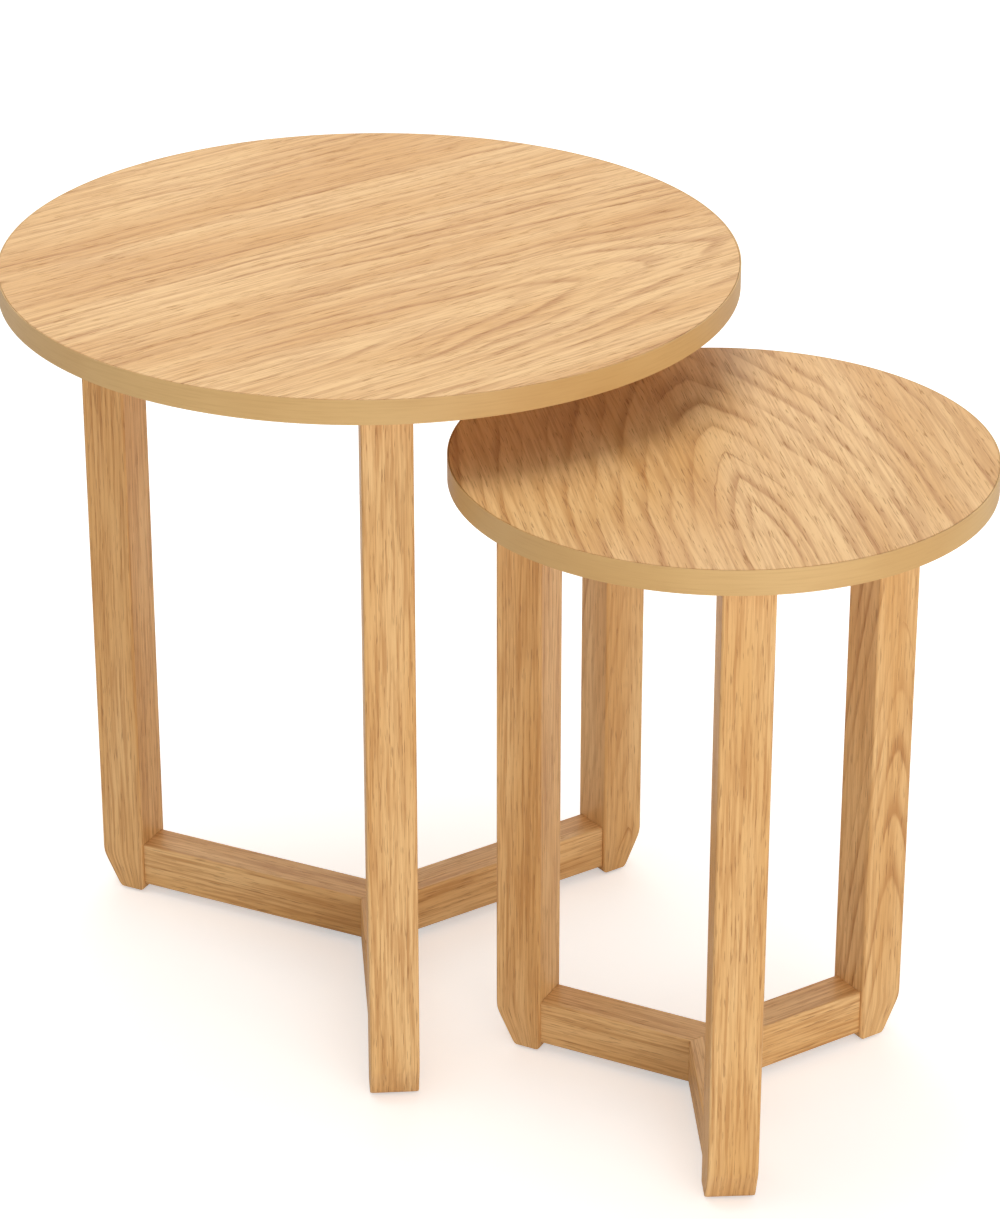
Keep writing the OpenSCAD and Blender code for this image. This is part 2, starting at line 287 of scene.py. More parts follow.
# %% Shader group: handling
def handling():
    tree, given, result = new_group(
        "handling",
        [("Place", VECTOR, None), ("Roughness", FLOAT, 0.5), ("Spread", FLOAT, 0.1)],
        [("Roughness", FLOAT)],
    )
    patches = noise(tree, stretched(tree, given["Place"], 14.0, 14.0, 14.0), 3.0, 0.6)
    centred = calc(tree, "SUBTRACT", patches, 0.5)
    rough = calc(tree, "MULTIPLY_ADD", centred, given["Spread"], given["Roughness"], clamp=True)
    tree.links.new(rough, result.inputs["Roughness"])
    return tree


HANDLING = handling()
print("handling has", len(HANDLING.nodes), "nodes")

# %% Material helpers
def blank(name, roughness=0.5, metallic=0.0):
    """A new material, with its tree and its shader."""
    material = bpy.data.materials.new(name)
    material.use_nodes = True
    tree = material.node_tree
    shader = tree.nodes["Principled BSDF"]
    shader.inputs["Roughness"].default_value = roughness
    shader.inputs["Metallic"].default_value = metallic
    return material, tree, shader


def own_place(tree):
    """Where a point is in its own object, which doesn't change when the object rides away."""
    return add(tree, "ShaderNodeTexCoord").outputs["Object"]


def handled(tree, place, roughness, spread):
    """A roughness with handling marks in it."""
    inputs = {"Place": place, "Roughness": roughness, "Spread": spread}
    return add(tree, "ShaderNodeGroup", inputs, node_tree=HANDLING).outputs["Roughness"]


def give_relief(tree, shader, height, strength, depth):
    """Makes a height felt by the light. The depth is in metres."""
    bump = add(tree, "ShaderNodeBump", {"Strength": strength, "Distance": depth, "Height": height})
    tree.links.new(bump.outputs[0], shader.inputs["Normal"])


print("material helpers are ready")

# %% [markdown]
# ## Oak finishes
# The tops are thin veneer, peeled flat across the log, so their figure is wide and bold. The legs and
# rails are solid bars. The two right legs are flat sawn and show arches, and the other bars are quarter
# sawn, with fine straight lines. All are the same wood, so one function makes them all from the figure
# above: pale wood, a darker line for each year, fibres, pores, and a satin lacquer that sinks a little
# into the pores.
#
# The pattern has to lie along each piece. On a flat top a Mapping node turns it. Each solid bar
# instead carries its own bench coordinates as an attribute called bench: across, along and through
# the bar, as if it still lay on the bench. That way one finish serves every leg and rail.

# %% Oak material
PALE_OAK = paint(234, 193, 136)
WARM_OAK = paint(218, 169, 107)
YEAR_LINE = paint(178, 121, 63)
OPEN_PORE = paint(140, 90, 48)
OAK_COLOURS = (PALE_OAK, WARM_OAK, YEAR_LINE, OPEN_PORE)
LACQUER = 0.4
LACQUER_SHINE = 0.35
BENCH = "bench"


def oak(name, place_from, ring_width, wander, ripple, lines, streaks, relief,
        lean=0.0, point=0.0, taper=0.0, colours=OAK_COLOURS):
    """Oak with a lacquer. place_from adds the nodes that say where on the bench a point is."""
    pale, warm, year_line, open_pore = colours
    material, tree, shader = blank(name)
    shader.inputs["Specular IOR Level"].default_value = LACQUER_SHINE
    place = place_from(tree)
    figure = add(tree, "ShaderNodeGroup", {
        "Place": place, "Ring Width": ring_width, "Lean": lean, "Point": point, "Taper": taper,
        "Wander": wander, "Ripple": ripple}, node_tree=OAK_FIGURE).outputs

    warmth = remap(tree, figure["Tone"], 0.3, 0.7)
    wood = blend_colours(tree, warmth, pale, warm)
    streak = remap(tree, figure["Fibre"], 0.42, 0.62)
    wood = blend_colours(tree, calc(tree, "MULTIPLY", streak, streaks), wood, year_line)
    wood = blend_colours(tree, calc(tree, "MULTIPLY", figure["Ring"], lines), wood, year_line)
    wood = blend_colours(tree, calc(tree, "MULTIPLY", figure["Pore"], 0.45), wood, open_pore)
    tree.links.new(wood, shader.inputs["Base Color"])

    # Lacquer sinks into an open pore, which is left dull and deep
    rough = handled(tree, place, LACQUER, 0.12)
    dry = calc(tree, "MULTIPLY_ADD", figure["Pore"], 0.2, rough, clamp=True)
    tree.links.new(dry, shader.inputs["Roughness"])
    height = calc(tree, "MULTIPLY_ADD", figure["Fibre"], -0.6, 1.0)
    height = calc(tree, "MULTIPLY_ADD", figure["Ring"], -0.25, height)
    height = calc(tree, "MULTIPLY_ADD", figure["Pore"], -0.8, height)
    give_relief(tree, shader, height, 0.8, relief)
    return material


def mapped(middle, turn, heart):
    """Bench coordinates for a flat piece: centred on it, turned onto its grain, next to the heart."""
    def place_from(tree):
        flat = add(tree, "ShaderNodeMapping", {
            "Vector": own_place(tree), "Location": middle, "Rotation": (0, 0, turn)},
            vector_type="TEXTURE").outputs[0]
        return add(tree, "ShaderNodeMapping", {"Vector": flat, "Location": heart}).outputs[0]
    return place_from


def carried(tree):
    """Bench coordinates that the piece carries itself."""
    return add(tree, "ShaderNodeAttribute", attribute_name=BENCH).outputs["Vector"]


def finish_node(name, material):
    """Gives a CAD piece its finish."""
    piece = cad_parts[name]
    piece.data.materials.clear()
    piece.data.materials.append(material)
    print(name, "is finished in", material.name)


# %% Veneered tops
GRAIN = {"large": math.radians(-56), "small": math.radians(5)}
HEART = {"large": (-0.125, 0.02, 0.045), "small": (-0.0025, 0, 0.056)}
RINGS = {"large": 0.011, "small": 0.014}
LEAN = {"large": 0.2, "small": 0.34}
POINT = {"large": 0.04, "small": 0.06}
FAR_HEART = (0.6, 0, 0.3)
VENEER_RELIEF = 0.0002

for table in tables:
    size = table["size"]
    place = table["middle"] + Vector((0, 0, table["top"]))
    bold = oak(size + "_top_oak", mapped(place, GRAIN[size], HEART[size]),
               ring_width=RINGS[size], lean=LEAN[size], point=POINT[size], wander=0.02, ripple=0.22,
               lines=0.72, streaks=0.45, relief=VENEER_RELIEF)
    finish_node(size + "_top_face", bold)
    plain = oak(size + "_backing_oak", mapped(place, GRAIN[size], FAR_HEART),
                ring_width=0.005, taper=0.02, wander=0.02, ripple=0.4,
                lines=0.4, streaks=0.5, relief=VENEER_RELIEF)
    finish_node(size + "_top_backing", plain)

# %% [markdown]
# ## Growing a mesh from a tree
# Geometry Nodes are a recipe: change a named size and the piece follows. Once a recipe is right, its
# result is turned into a plain mesh, because a plain mesh can be exported and ridden on a body. Every
# recipe takes its finish as its last input and ends with the same two nodes.

# %% Growing helpers
GEOMETRY = "NodeSocketGeometry"
MATERIAL = "NodeSocketMaterial"
OBJECT = "NodeSocketObject"
SHARP_FROM = math.radians(35)


def new_recipe(name, sizes, others=()):
    """An empty recipe with these sizes, then its other inputs, then its finish."""
    inputs = [(size, FLOAT, value) for size, value in sizes] + [(n, kind, None) for n, kind in others]
    inputs.append(("Finish", MATERIAL, None))
    return new_group(name, inputs, [("Geometry", GEOMETRY)], "GeometryNodeTree")


def end_recipe(tree, geometry, finish, result):
    """Real geometry instead of instances, in one finish."""
    whole = add(tree, "GeometryNodeRealizeInstances", {"Geometry": geometry})
    done = add(tree, "GeometryNodeSetMaterial", {"Geometry": whole.outputs[0], "Material": finish})
    tree.links.new(done.outputs[0], result.inputs[0])
    print(tree.name, "has", len(tree.nodes), "nodes")
    return tree


def position(tree):
    """The place of each point, as its three parts."""
    place = add(tree, "GeometryNodeInputPosition").outputs[0]
    return add(tree, "ShaderNodeSeparateXYZ", {0: place}).outputs


def rounded_section(tree, width, height, rounding, steps):
    """A rectangle with rounded corners, to be swept along a line."""
    section = add(tree, "GeometryNodeCurvePrimitiveQuadrilateral", {"Width": width, "Height": height})
    return add(tree, "GeometryNodeFilletCurve", {
        "Curve": section.outputs[0], "Count": steps, "Radius": rounding}, mode="POLY").outputs[0]


def cut_away(tree, piece, tool):
    """The piece without the space that the tool takes up."""
    return add(tree, "GeometryNodeMeshBoolean", {"Mesh 1": piece, "Mesh 2": tool},
               operation="DIFFERENCE", solver="EXACT").outputs[0]


def mark_bench(tree, geometry, bench):
    """Stores bench coordinates on the points."""
    return add(tree, "GeometryNodeStoreNamedAttribute", {
        "Geometry": geometry, "Name": BENCH, "Value": bench},
        data_type="FLOAT_VECTOR", domain="POINT").outputs[0]


def grow(name, tree, sizes, places=None):
    """Evaluates a Geometry Nodes recipe with these sizes, and gives the result as a plain mesh."""
    seed = put_in_scene(name + "_seed", places or bpy.data.meshes.new(name + "_seed"))
    recipe = seed.modifiers.new("recipe", "NODES")
    recipe.node_group = tree
    for item in tree.interface.items_tree:
        if item.item_type == "SOCKET" and item.in_out == "INPUT" and item.name in sizes:
            recipe[item.identifier] = sizes[item.name]
    even = seed.modifiers.new("even normals", "WEIGHTED_NORMAL")
    even.keep_sharp = True
    depsgraph = bpy.context.evaluated_depsgraph_get()
    mesh = bpy.data.meshes.new_from_object(seed.evaluated_get(depsgraph), depsgraph=depsgraph)
    bpy.data.objects.remove(seed)
    mesh.name = name
    return put_in_scene(name, mesh)


def stand_in(piece, body, slot, *nodes):
    """Puts a finished piece on its body, in the place of CAD nodes."""
    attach(piece, body)
    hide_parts(*nodes)
    print(piece.name, len(piece.data.polygons), "faces, for", ", ".join(nodes))


def smooth_where_soft(tree, geometry):
    """Smooth shading, apart from the edges that turn sharply."""
    smooth = add(tree, "GeometryNodeSetShadeSmooth", {"Geometry": geometry})
    angle = add(tree, "GeometryNodeInputMeshEdgeAngle").outputs["Unsigned Angle"]
    inputs = {
        "Geometry": smooth.outputs[0],
        "Selection": calc(tree, "GREATER_THAN", angle, SHARP_FROM),
        "Shade Smooth": False,
    }
    return add(tree, "GeometryNodeSetShadeSmooth", inputs, domain="EDGE").outputs[0]


# %% [markdown]
# ## Edge bands
# The rim of a round board is covered by a thin strip, glued on and trimmed flush, with its corners
# scraped soft. It is a small section swept round a circle, so a recipe fits it well. The strip's two
# ends meet in a hairline joint, and a fitter turns that to the back.

# %% Recipe: edge band
BAND_STEPS = 361
BAND_CORNER_STEPS = 4


def edge_band_recipe():
    tree, given, result = new_recipe("edge_band_recipe", [
        ("Radius", 0.25), ("Height", 0.0168), ("Thickness", 0.001), ("Outer Rounding", 0.0006),
        ("Inner Rounding", 0.0001), ("Joint Gap", 0.00015), ("Joint Angle", 1.57),
    ], [("Middle", VECTOR)])
    half = calc(tree, "MULTIPLY", given["Thickness"], 0.5)
    radius = calc(tree, "SUBTRACT", given["Radius"], half)
    sweep = calc(tree, "SUBTRACT", math.tau, calc(tree, "DIVIDE", given["Joint Gap"], given["Radius"]))
    ring = add(tree, "GeometryNodeCurveArc", {
        "Resolution": BAND_STEPS, "Radius": radius, "Start Angle": given["Joint Angle"],
        "Sweep Angle": sweep}, mode="RADIUS")
    level = add(tree, "GeometryNodeSetCurveNormal", {"Curve": ring.outputs[0]}, mode="Z_UP")
    # The section's positive side ends up against the board
    inside = calc(tree, "GREATER_THAN", position(tree)["X"], 0.0)
    rounding = remap(tree, inside, 0.0, 1.0, given["Outer Rounding"], given["Inner Rounding"], smooth=False)
    section = rounded_section(tree, given["Thickness"], given["Height"], rounding, BAND_CORNER_STEPS)
    band = add(tree, "GeometryNodeCurveToMesh", {
        "Curve": level.outputs[0], "Profile Curve": section, "Fill Caps": True})
    moved = add(tree, "GeometryNodeTransform", {
        "Geometry": band.outputs[0], "Translation": given["Middle"]})
    return end_recipe(tree, smooth_where_soft(tree, moved.outputs[0]), given["Finish"], result)


BAND_RECIPE = edge_band_recipe()

# %% Finish: plastic band
TAN = paint(207, 169, 111)
DEEP_TAN = paint(198, 157, 98)
BROWN_STREAK = paint(182, 139, 82)


def plastic_band():
    """Printed plastic strip: one tan, with faint cloudy streaks that run round the rim."""
    material, tree, shader = blank("band_plastic")
    own = own_place(tree)
    streaks = noise(tree, stretched(tree, own, 30.0, 30.0, 900.0), 3.0, 0.6)
    clouds = noise(tree, stretched(tree, own, 9.0, 9.0, 9.0), 2.0)
    tan = blend_colours(tree, remap(tree, clouds, 0.3, 0.7), TAN, DEEP_TAN)
    faint = calc(tree, "MULTIPLY", remap(tree, streaks, 0.4, 0.75), 0.3)
    tree.links.new(blend_colours(tree, faint, tan, BROWN_STREAK), shader.inputs["Base Color"])
    tree.links.new(handled(tree, own, 0.48, 0.14), shader.inputs["Roughness"])
    give_relief(tree, shader, streaks, 0.4, 0.0001)
    return material


# %% Sweep the bands
BAND_THICKNESS = 0.001
BAND_PLASTIC = plastic_band()
for table in tables:
    size = table["size"]
    height = table["top"] - table["under"]
    middle = table["middle"] + Vector((0, 0, table["under"] + height / 2))
    band = grow(size + "_band", BAND_RECIPE, {
        "Radius": table["radius"], "Height": height, "Thickness": BAND_THICKNESS,
        "Middle": middle, "Finish": BAND_PLASTIC})
    stand_in(band, table["body"], "edge_band", size + "_edge_band")

# %% [markdown]
# ## Legs
# A leg is a square bar with soft long edges. Its foot is cut back on the outside, so that the tip
# doesn't splinter when the table is dragged. The recipe sweeps the square section up a line, and then
# squeezes each ring between an inner and an outer limit that depend on its height. A smooth minimum
# joins the cut to the straight face in one soft curve. The pocket for the cam lock is cut last.

# %% Recipe: leg
LEG_RINGS = 72
LEG_CORNER_STEPS = 5
LOCK_POCKET_SIDES = 48


def leg_recipe():
    tree, given, result = new_recipe("leg_recipe", [
        ("Depth", 0.0335), ("Width", 0.0335), ("Height", 0.5), ("Edge Rounding", 0.002),
        ("Cut Depth", 0.014), ("Cut Height", 0.026), ("Cut Blend", 0.0036), ("Toe Rounding", 0.004),
        ("Heel Rounding", 0.0028), ("Side Easing", 0.0012), ("Lock Diameter", 0.0152),
        ("Lock Depth", 0.013), ("Lock Drop", 0.024),
    ], [("Heart", VECTOR), ("Angle", VECTOR), ("Place", VECTOR)])
    half = calc(tree, "MULTIPLY", given["Depth"], 0.5)
    half_width = calc(tree, "MULTIPLY", given["Width"], 0.5)
    line = add(tree, "GeometryNodeCurvePrimitiveLine", {"Start": (0, 0, 0), "End": (0, 0, 1)})
    spine = add(tree, "GeometryNodeResampleCurve", {"Curve": line.outputs[0], "Count": LEG_RINGS})
    section = rounded_section(
        tree, given["Depth"], given["Width"], given["Edge Rounding"], LEG_CORNER_STEPS)
    bar = add(tree, "GeometryNodeCurveToMesh", {
        "Curve": spine.outputs[0], "Profile Curve": section, "Fill Caps": True}).outputs[0]

    def rounded_by(radius, height):
        """How far a quarter circle of this radius stands in at this height."""
        below = calc(tree, "SUBTRACT", 1.0, calc(tree, "DIVIDE", height, radius), clamp=True)
        left = calc(tree, "SUBTRACT", 1.0, calc(tree, "POWER", below, 2.0), clamp=True)
        return calc(tree, "MULTIPLY", calc(tree, "SUBTRACT", 1.0, calc(tree, "SQRT", left)), radius)

    def limits(height):
        """The inner face and the outer face at this height."""
        slope = calc(tree, "DIVIDE", given["Cut Depth"], given["Cut Height"])
        left_to_cut = calc(tree, "SUBTRACT", given["Cut Height"], height)
        cut = calc(tree, "SUBTRACT", half, calc(tree, "MULTIPLY", left_to_cut, slope))
        outer = calc(tree, "SMOOTH_MIN", half, cut, given["Cut Blend"])
        toe = calc(tree, "MULTIPLY", rounded_by(given["Toe Rounding"], height), 0.5)
        heel = rounded_by(given["Heel Rounding"], height)
        return calc(tree, "SUBTRACT", heel, half), calc(tree, "SUBTRACT", outer, toe)

    # Rings crowd towards the foot, where the shape changes
    at = position(tree)
    height = calc(tree, "MULTIPLY", calc(tree, "POWER", at["Z"], 2.0), given["Height"])
    inner, outer = limits(height)
    share = calc(tree, "DIVIDE", calc(tree, "ADD", at["X"], half), given["Depth"])
    x = calc(tree, "MULTIPLY_ADD", share, calc(tree, "SUBTRACT", outer, inner), inner)
    easing = calc(tree, "DIVIDE", rounded_by(given["Side Easing"], height), half_width)
    y = calc(tree, "MULTIPLY", at["Y"], calc(tree, "SUBTRACT", 1.0, easing))
    shaped = add(tree, "GeometryNodeSetPosition", {
        "Geometry": bar, "Position": vector_of(tree, x, y, height)}).outputs[0]

    # The pocket for the cam lock, in the inner face near the top
    bore = add(tree, "GeometryNodeMeshCylinder", {
        "Vertices": LOCK_POCKET_SIDES, "Radius": calc(tree, "MULTIPLY", given["Lock Diameter"], 0.5),
        "Depth": calc(tree, "MULTIPLY", given["Lock Depth"], 2.0)})
    bore_height = calc(tree, "SUBTRACT", given["Height"], given["Lock Drop"])
    lock_place = vector_of(tree, calc(tree, "MULTIPLY", half, -1.0), 0.0, bore_height)
    placed = add(tree, "GeometryNodeTransform", {
        "Geometry": bore.outputs[0], "Translation": lock_place, "Rotation": (0, math.pi / 2, 0)})
    bored = cut_away(tree, shaped, placed.outputs[0])

    # Bench coordinates, from the heart of the log. The cut foot keeps those of the straight bar, so
    # its long grain runs on down over the cut
    at = position(tree)
    inner, outer = limits(at["Z"])
    depth_here = calc(tree, "SUBTRACT", outer, inner)
    share = calc(tree, "DIVIDE", calc(tree, "SUBTRACT", at["X"], inner), depth_here)
    across = calc(tree, "SUBTRACT", calc(tree, "MULTIPLY", share, given["Depth"]), half)
    bench = vector_of(tree, across, at["Z"], at["Y"])
    bench = add(tree, "ShaderNodeVectorMath", {0: bench, 1: given["Heart"]}, operation="ADD").outputs[0]
    stood = add(tree, "GeometryNodeTransform", {
        "Geometry": mark_bench(tree, bored, bench), "Translation": given["Place"],
        "Rotation": given["Angle"]})
    return end_recipe(tree, smooth_where_soft(tree, stood.outputs[0]), given["Finish"], result)


LEG_RECIPE = leg_recipe()

# %% Grow the legs
FLAT_SAWN = oak("flat_sawn_oak", carried, ring_width=0.0075, taper=0.15, wander=0.005, ripple=0.2,
                lines=0.75, streaks=0.4, relief=0.0002)
QUARTER_SAWN = oak("quarter_sawn_oak", carried, ring_width=0.0027, taper=0.01, wander=0.005,
                   ripple=0.5, lines=0.4, streaks=0.6, relief=0.0002)
low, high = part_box("large_front_leg")
LEG_WIDTH = high.x - low.x
LEG_DEPTH = high.y - low.y
chance = np.random.default_rng(4)


def flat_sawn():
    """The heart of the log was just past one side of the bar, so that side shows arches."""
    return chance.uniform(-0.005, -0.002), chance.uniform(1, 9), chance.uniform(0.023, 0.027)


def quarter_sawn():
    """The heart was far away to one corner, so every side shows straight lines."""
    return chance.uniform(0.06, 0.09), chance.uniform(1, 9), chance.uniform(0.05, 0.08)


for table in tables:
    size = table["size"]
    for spoke, angle in table["spokes"].items():
        node = f"{size}_{spoke}_leg"
        low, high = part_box(node)
        middle = (low + high) / 2
        arched = spoke == "right"
        leg = grow(node + "_bar", LEG_RECIPE, {
            "Depth": LEG_DEPTH, "Width": LEG_WIDTH, "Height": high.z - low.z,
            "Heart": flat_sawn() if arched else quarter_sawn(), "Angle": (0, 0, angle),
            "Place": (middle.x, middle.y, low.z), "Finish": FLAT_SAWN if arched else QUARTER_SAWN})
        stand_in(leg, table["body"], "oak", node)

# %% [markdown]
# ## Rails
# The three low rails meet in a hub with a mitre of 120 degrees. A joiner takes the sharp arris off a
# sawn end with one stroke of a block plane, and that tiny chamfer is what makes a joint show as a
# fine dark line. The CAD rail has the mitre, the bores and the pocket for the hub plate already, so a
# copy of it is welded into one mesh and only its end edges are chamfered.

# %% Plane the rail ends
CHAMFER = 0.0004
ON_PLANE = 0.00002
FLUSH = math.radians(0.5)
ARRIS_FROM = math.radians(40)
NEAR_RIM = 0.9
MITRE = math.radians(60)


def planed_rail(node, middle, angle, heart):
    """A rail with chamfered ends, and how many edges were chamfered."""
    mesh = bpy.data.meshes.new(node + "_bar")
    to_bench = Matrix.Rotation(-angle, 4, "Z") @ Matrix.Translation(-middle)
    work = bmesh.new()
    work.from_mesh(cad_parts[node].data)
    work.transform(to_bench)
    bmesh.ops.remove_doubles(work, verts=work.verts, dist=ON_PLANE)
    bmesh.ops.dissolve_limit(work, angle_limit=FLUSH, verts=work.verts, edges=work.edges)
    xs, ys, zs = (np.array([v.co[axis] for v in work.verts]) for axis in range(3))
    half_width, end = ys.max(), xs.max()
    mid_height = (zs.max() + zs.min()) / 2
    half_height = (zs.max() - zs.min()) / 2

    def on_end(point):
        """Whether a point is on the outline of an end, and not on a bore in it."""
        rim = max(abs(point.y) / half_width, (point.z - mid_height) / half_height)
        mitred = abs(abs(point.y) * math.cos(MITRE) - point.x * math.sin(MITRE)) < ON_PLANE
        return rim > NEAR_RIM and (mitred or abs(point.x - end) < ON_PLANE)

    arrises = [edge for edge in work.edges
               if edge.is_manifold and edge.calc_face_angle() > ARRIS_FROM
               and all(on_end(v.co) for v in edge.verts)]
    bmesh.ops.bevel(work, geom=arrises, offset=CHAMFER, segments=2, profile=0.5, affect="EDGES",
                    clamp_overlap=False)
    for face in work.faces:
        face.smooth = True
    for edge in work.edges:
        edge.smooth = edge.is_manifold and edge.calc_face_angle() < SHARP_FROM
    bench = work.verts.layers.float_vector.new(BENCH)
    for vert in work.verts:
        vert[bench] = Vector((vert.co.y, vert.co.x, vert.co.z)) + Vector(heart)
    work.transform(to_bench.inverted())
    work.to_mesh(mesh)
    work.free()
    mesh.materials.append(QUARTER_SAWN)
    rail = put_in_scene(node + "_bar", mesh)
    rail.modifiers.new("even normals", "WEIGHTED_NORMAL").keep_sharp = True
    return rail, len(arrises)


for table in tables:
    size = table["size"]
    for spoke, angle in table["spokes"].items():
        node = f"{size}_{spoke}_rail"
        rail, planed = planed_rail(node, table["middle"], angle, quarter_sawn())
        stand_in(rail, table["body"], "oak", node)
        print("  chamfered", planed, "edges")

# %% [markdown]
# ## Turned fittings
# Screws, cam bolts, dowels and felt pads are all round things that come off a lathe or a punch. One
# recipe turns them all: it takes a tall tube of many rings, and sets each point's distance from the
# axis by a rule that knows the height and the angle. A thread is then a wave that climbs as it turns,
# and a dowel's flutes are a wave that doesn't climb.

# %% Recipe: turned fitting
def turned_recipe(name, sizes, rings, corners, radius_at, recess=None):
    """radius_at(tree, given, height, angle) gives the distance from the axis."""
    tree, given, result = new_recipe(name, [("Length", 0.01)] + sizes)
    tube = add(tree, "GeometryNodeMeshCylinder", {
        "Vertices": corners, "Side Segments": rings, "Radius": 1.0, "Depth": 1.0})
    at = position(tree)
    height = calc(tree, "MULTIPLY", calc(tree, "ADD", at["Z"], 0.5), given["Length"])
    angle = calc(tree, "ARCTAN2", at["Y"], at["X"])
    radius = radius_at(tree, given, height, angle)
    x = calc(tree, "MULTIPLY", calc(tree, "COSINE", angle), radius)
    y = calc(tree, "MULTIPLY", calc(tree, "SINE", angle), radius)
    shaped = add(tree, "GeometryNodeSetPosition", {
        "Geometry": tube.outputs[0], "Position": vector_of(tree, x, y, height)}).outputs[0]
    if recess:
        shaped = recess(tree, given, shaped)
    return end_recipe(tree, smooth_where_soft(tree, shaped), given["Finish"], result)


def threaded(tree, given, height, angle, radius):
    """The radius of a thread: it falls to its root and rises again once for each pitch."""
    climb = calc(tree, "SUBTRACT", calc(tree, "DIVIDE", height, given["Pitch"]),
                 calc(tree, "DIVIDE", angle, math.tau))
    wave = calc(tree, "ABSOLUTE", calc(tree, "SUBTRACT", calc(tree, "FRACT", climb), 0.5))
    return calc(tree, "SUBTRACT", radius, calc(tree, "MULTIPLY", wave, given["Thread Depth"]))


# %% Hub screws
RECESS_TURNS = (math.radians(45), math.radians(135))


def screw_radius(tree, given, height, angle):
    """A cone under the head, a thread below it, and a point at the end."""
    thread = threaded(tree, given, height, angle, given["Shank Radius"])
    point = calc(tree, "MULTIPLY_ADD", calc(tree, "SUBTRACT", given["Length"], height), 0.55, 0.0003)
    head = calc(tree, "SUBTRACT", given["Head Radius"], height)
    return calc(tree, "MAXIMUM", head, calc(tree, "MINIMUM", thread, point))


def cross_recess(tree, given, screw):
    """Two crossed slots cut into the head, deeper than they are wide."""
    arm = calc(tree, "MULTIPLY", given["Head Radius"], 1.1)
    size = vector_of(tree, arm, given["Recess"], calc(tree, "MULTIPLY", given["Recess"], 3.2))
    for turn in RECESS_TURNS:
        block = add(tree, "GeometryNodeMeshCube", {"Size": size})
        slot = add(tree, "GeometryNodeTransform", {
            "Geometry": block.outputs[0], "Rotation": (0, 0, turn)})
        screw = cut_away(tree, screw, slot.outputs[0])
    return screw


SCREW_RECIPE = turned_recipe(
    "screw_recipe", [("Shank Radius", 0.00175), ("Head Radius", 0.0035), ("Pitch", 0.0014),
                     ("Thread Depth", 0.0012), ("Recess", 0.0009)],
    rings=84, corners=24, radius_at=screw_radius, recess=cross_recess)

# %% Cam bolts
def bolt_radius(tree, given, height, angle):
    """From the head up: a round head, a narrow neck, a plain shank and a threaded end."""
    neck_end = calc(tree, "ADD", given["Head Length"], given["Neck Length"])
    above_head = calc(tree, "GREATER_THAN", height, given["Head Length"])
    above_neck = calc(tree, "GREATER_THAN", height, neck_end)
    thread_from = calc(tree, "SUBTRACT", given["Length"], given["Thread Length"])
    in_thread = calc(tree, "GREATER_THAN", height, thread_from)
    thread = threaded(tree, given, height, angle, given["Thread Radius"])
    radius = remap(tree, above_head, 0.0, 1.0, given["Shank Radius"], given["Neck Radius"], smooth=False)
    radius = remap(tree, above_neck, 0.0, 1.0, radius, given["Shank Radius"], smooth=False)
    radius = remap(tree, in_thread, 0.0, 1.0, radius, thread, smooth=False)
    ends = calc(tree, "MINIMUM", height, calc(tree, "SUBTRACT", given["Length"], height))
    return calc(tree, "MINIMUM", radius, calc(tree, "ADD", ends, given["Thread Root"]))


BOLT_RECIPE = turned_recipe(
    "cam_bolt_recipe", [("Head Length", 0.003), ("Neck Length", 0.004), ("Thread Length", 0.011),
                        ("Shank Radius", 0.003), ("Neck Radius", 0.002), ("Thread Radius", 0.0025),
                        ("Thread Root", 0.0019), ("Pitch", 0.0022), ("Thread Depth", 0.0012)],
    rings=146, corners=20, radius_at=bolt_radius)

# %% Dowels and felt pads
def dowel_radius(tree, given, height, angle):
    """Flutes along the side let the glue out, and a small cone at each end finds the hole."""
    wave = calc(tree, "COSINE", calc(tree, "MULTIPLY", angle, given["Flutes"]))
    flute = calc(tree, "POWER", calc(tree, "MULTIPLY_ADD", wave, 0.5, 0.5), 3.0)
    dip = calc(tree, "MULTIPLY", flute, given["Flute Depth"])
    ends = calc(tree, "MINIMUM", height, calc(tree, "SUBTRACT", given["Length"], height))
    inset = calc(tree, "MULTIPLY", calc(tree, "SUBTRACT", given["End Cone"], ends, clamp=True), 0.7)
    return calc(tree, "SUBTRACT", calc(tree, "SUBTRACT", given["Radius"], dip), inset)


def pad_radius(tree, given, height, angle):
    """A punched felt disc: its edge bulges a little and is never quite round."""
    across = calc(tree, "MULTIPLY_ADD", calc(tree, "DIVIDE", height, given["Length"]), 2.0, -1.0)
    near_edge = calc(tree, "POWER", calc(tree, "ABSOLUTE", across), 3.0)
    dip = calc(tree, "MULTIPLY", near_edge, given["Edge Rounding"])
    around = vector_of(tree, calc(tree, "COSINE", angle), calc(tree, "SINE", angle), across)
    fluff = calc(tree, "MULTIPLY", noise(tree, stretched(tree, around, 9.0, 9.0, 2.0)), given["Fluff"])
    return calc(tree, "SUBTRACT", calc(tree, "SUBTRACT", given["Radius"], dip), fluff)


DOWEL_RECIPE = turned_recipe(
    "dowel_recipe", [("Radius", 0.004), ("Flutes", 12.0), ("Flute Depth", 0.0003), ("End Cone", 0.0012)],
    rings=24, corners=72, radius_at=dowel_radius)
PAD_RECIPE = turned_recipe(
    "felt_pad_recipe", [("Radius", 0.006), ("Edge Rounding", 0.00025), ("Fluff", 0.0003)],
    rings=8, corners=64, radius_at=pad_radius)

# %% [markdown]
# ## Metal, beech and felt
# The fittings are cheap and honest: zinc plated steel with a fine drawn grain, a grainy zinc casting
# for the locks, plain beech for the dowels, and pressed wool felt under the feet. The board inside
# each top is glued wood chips, so it gets a pattern of small cells in several browns.

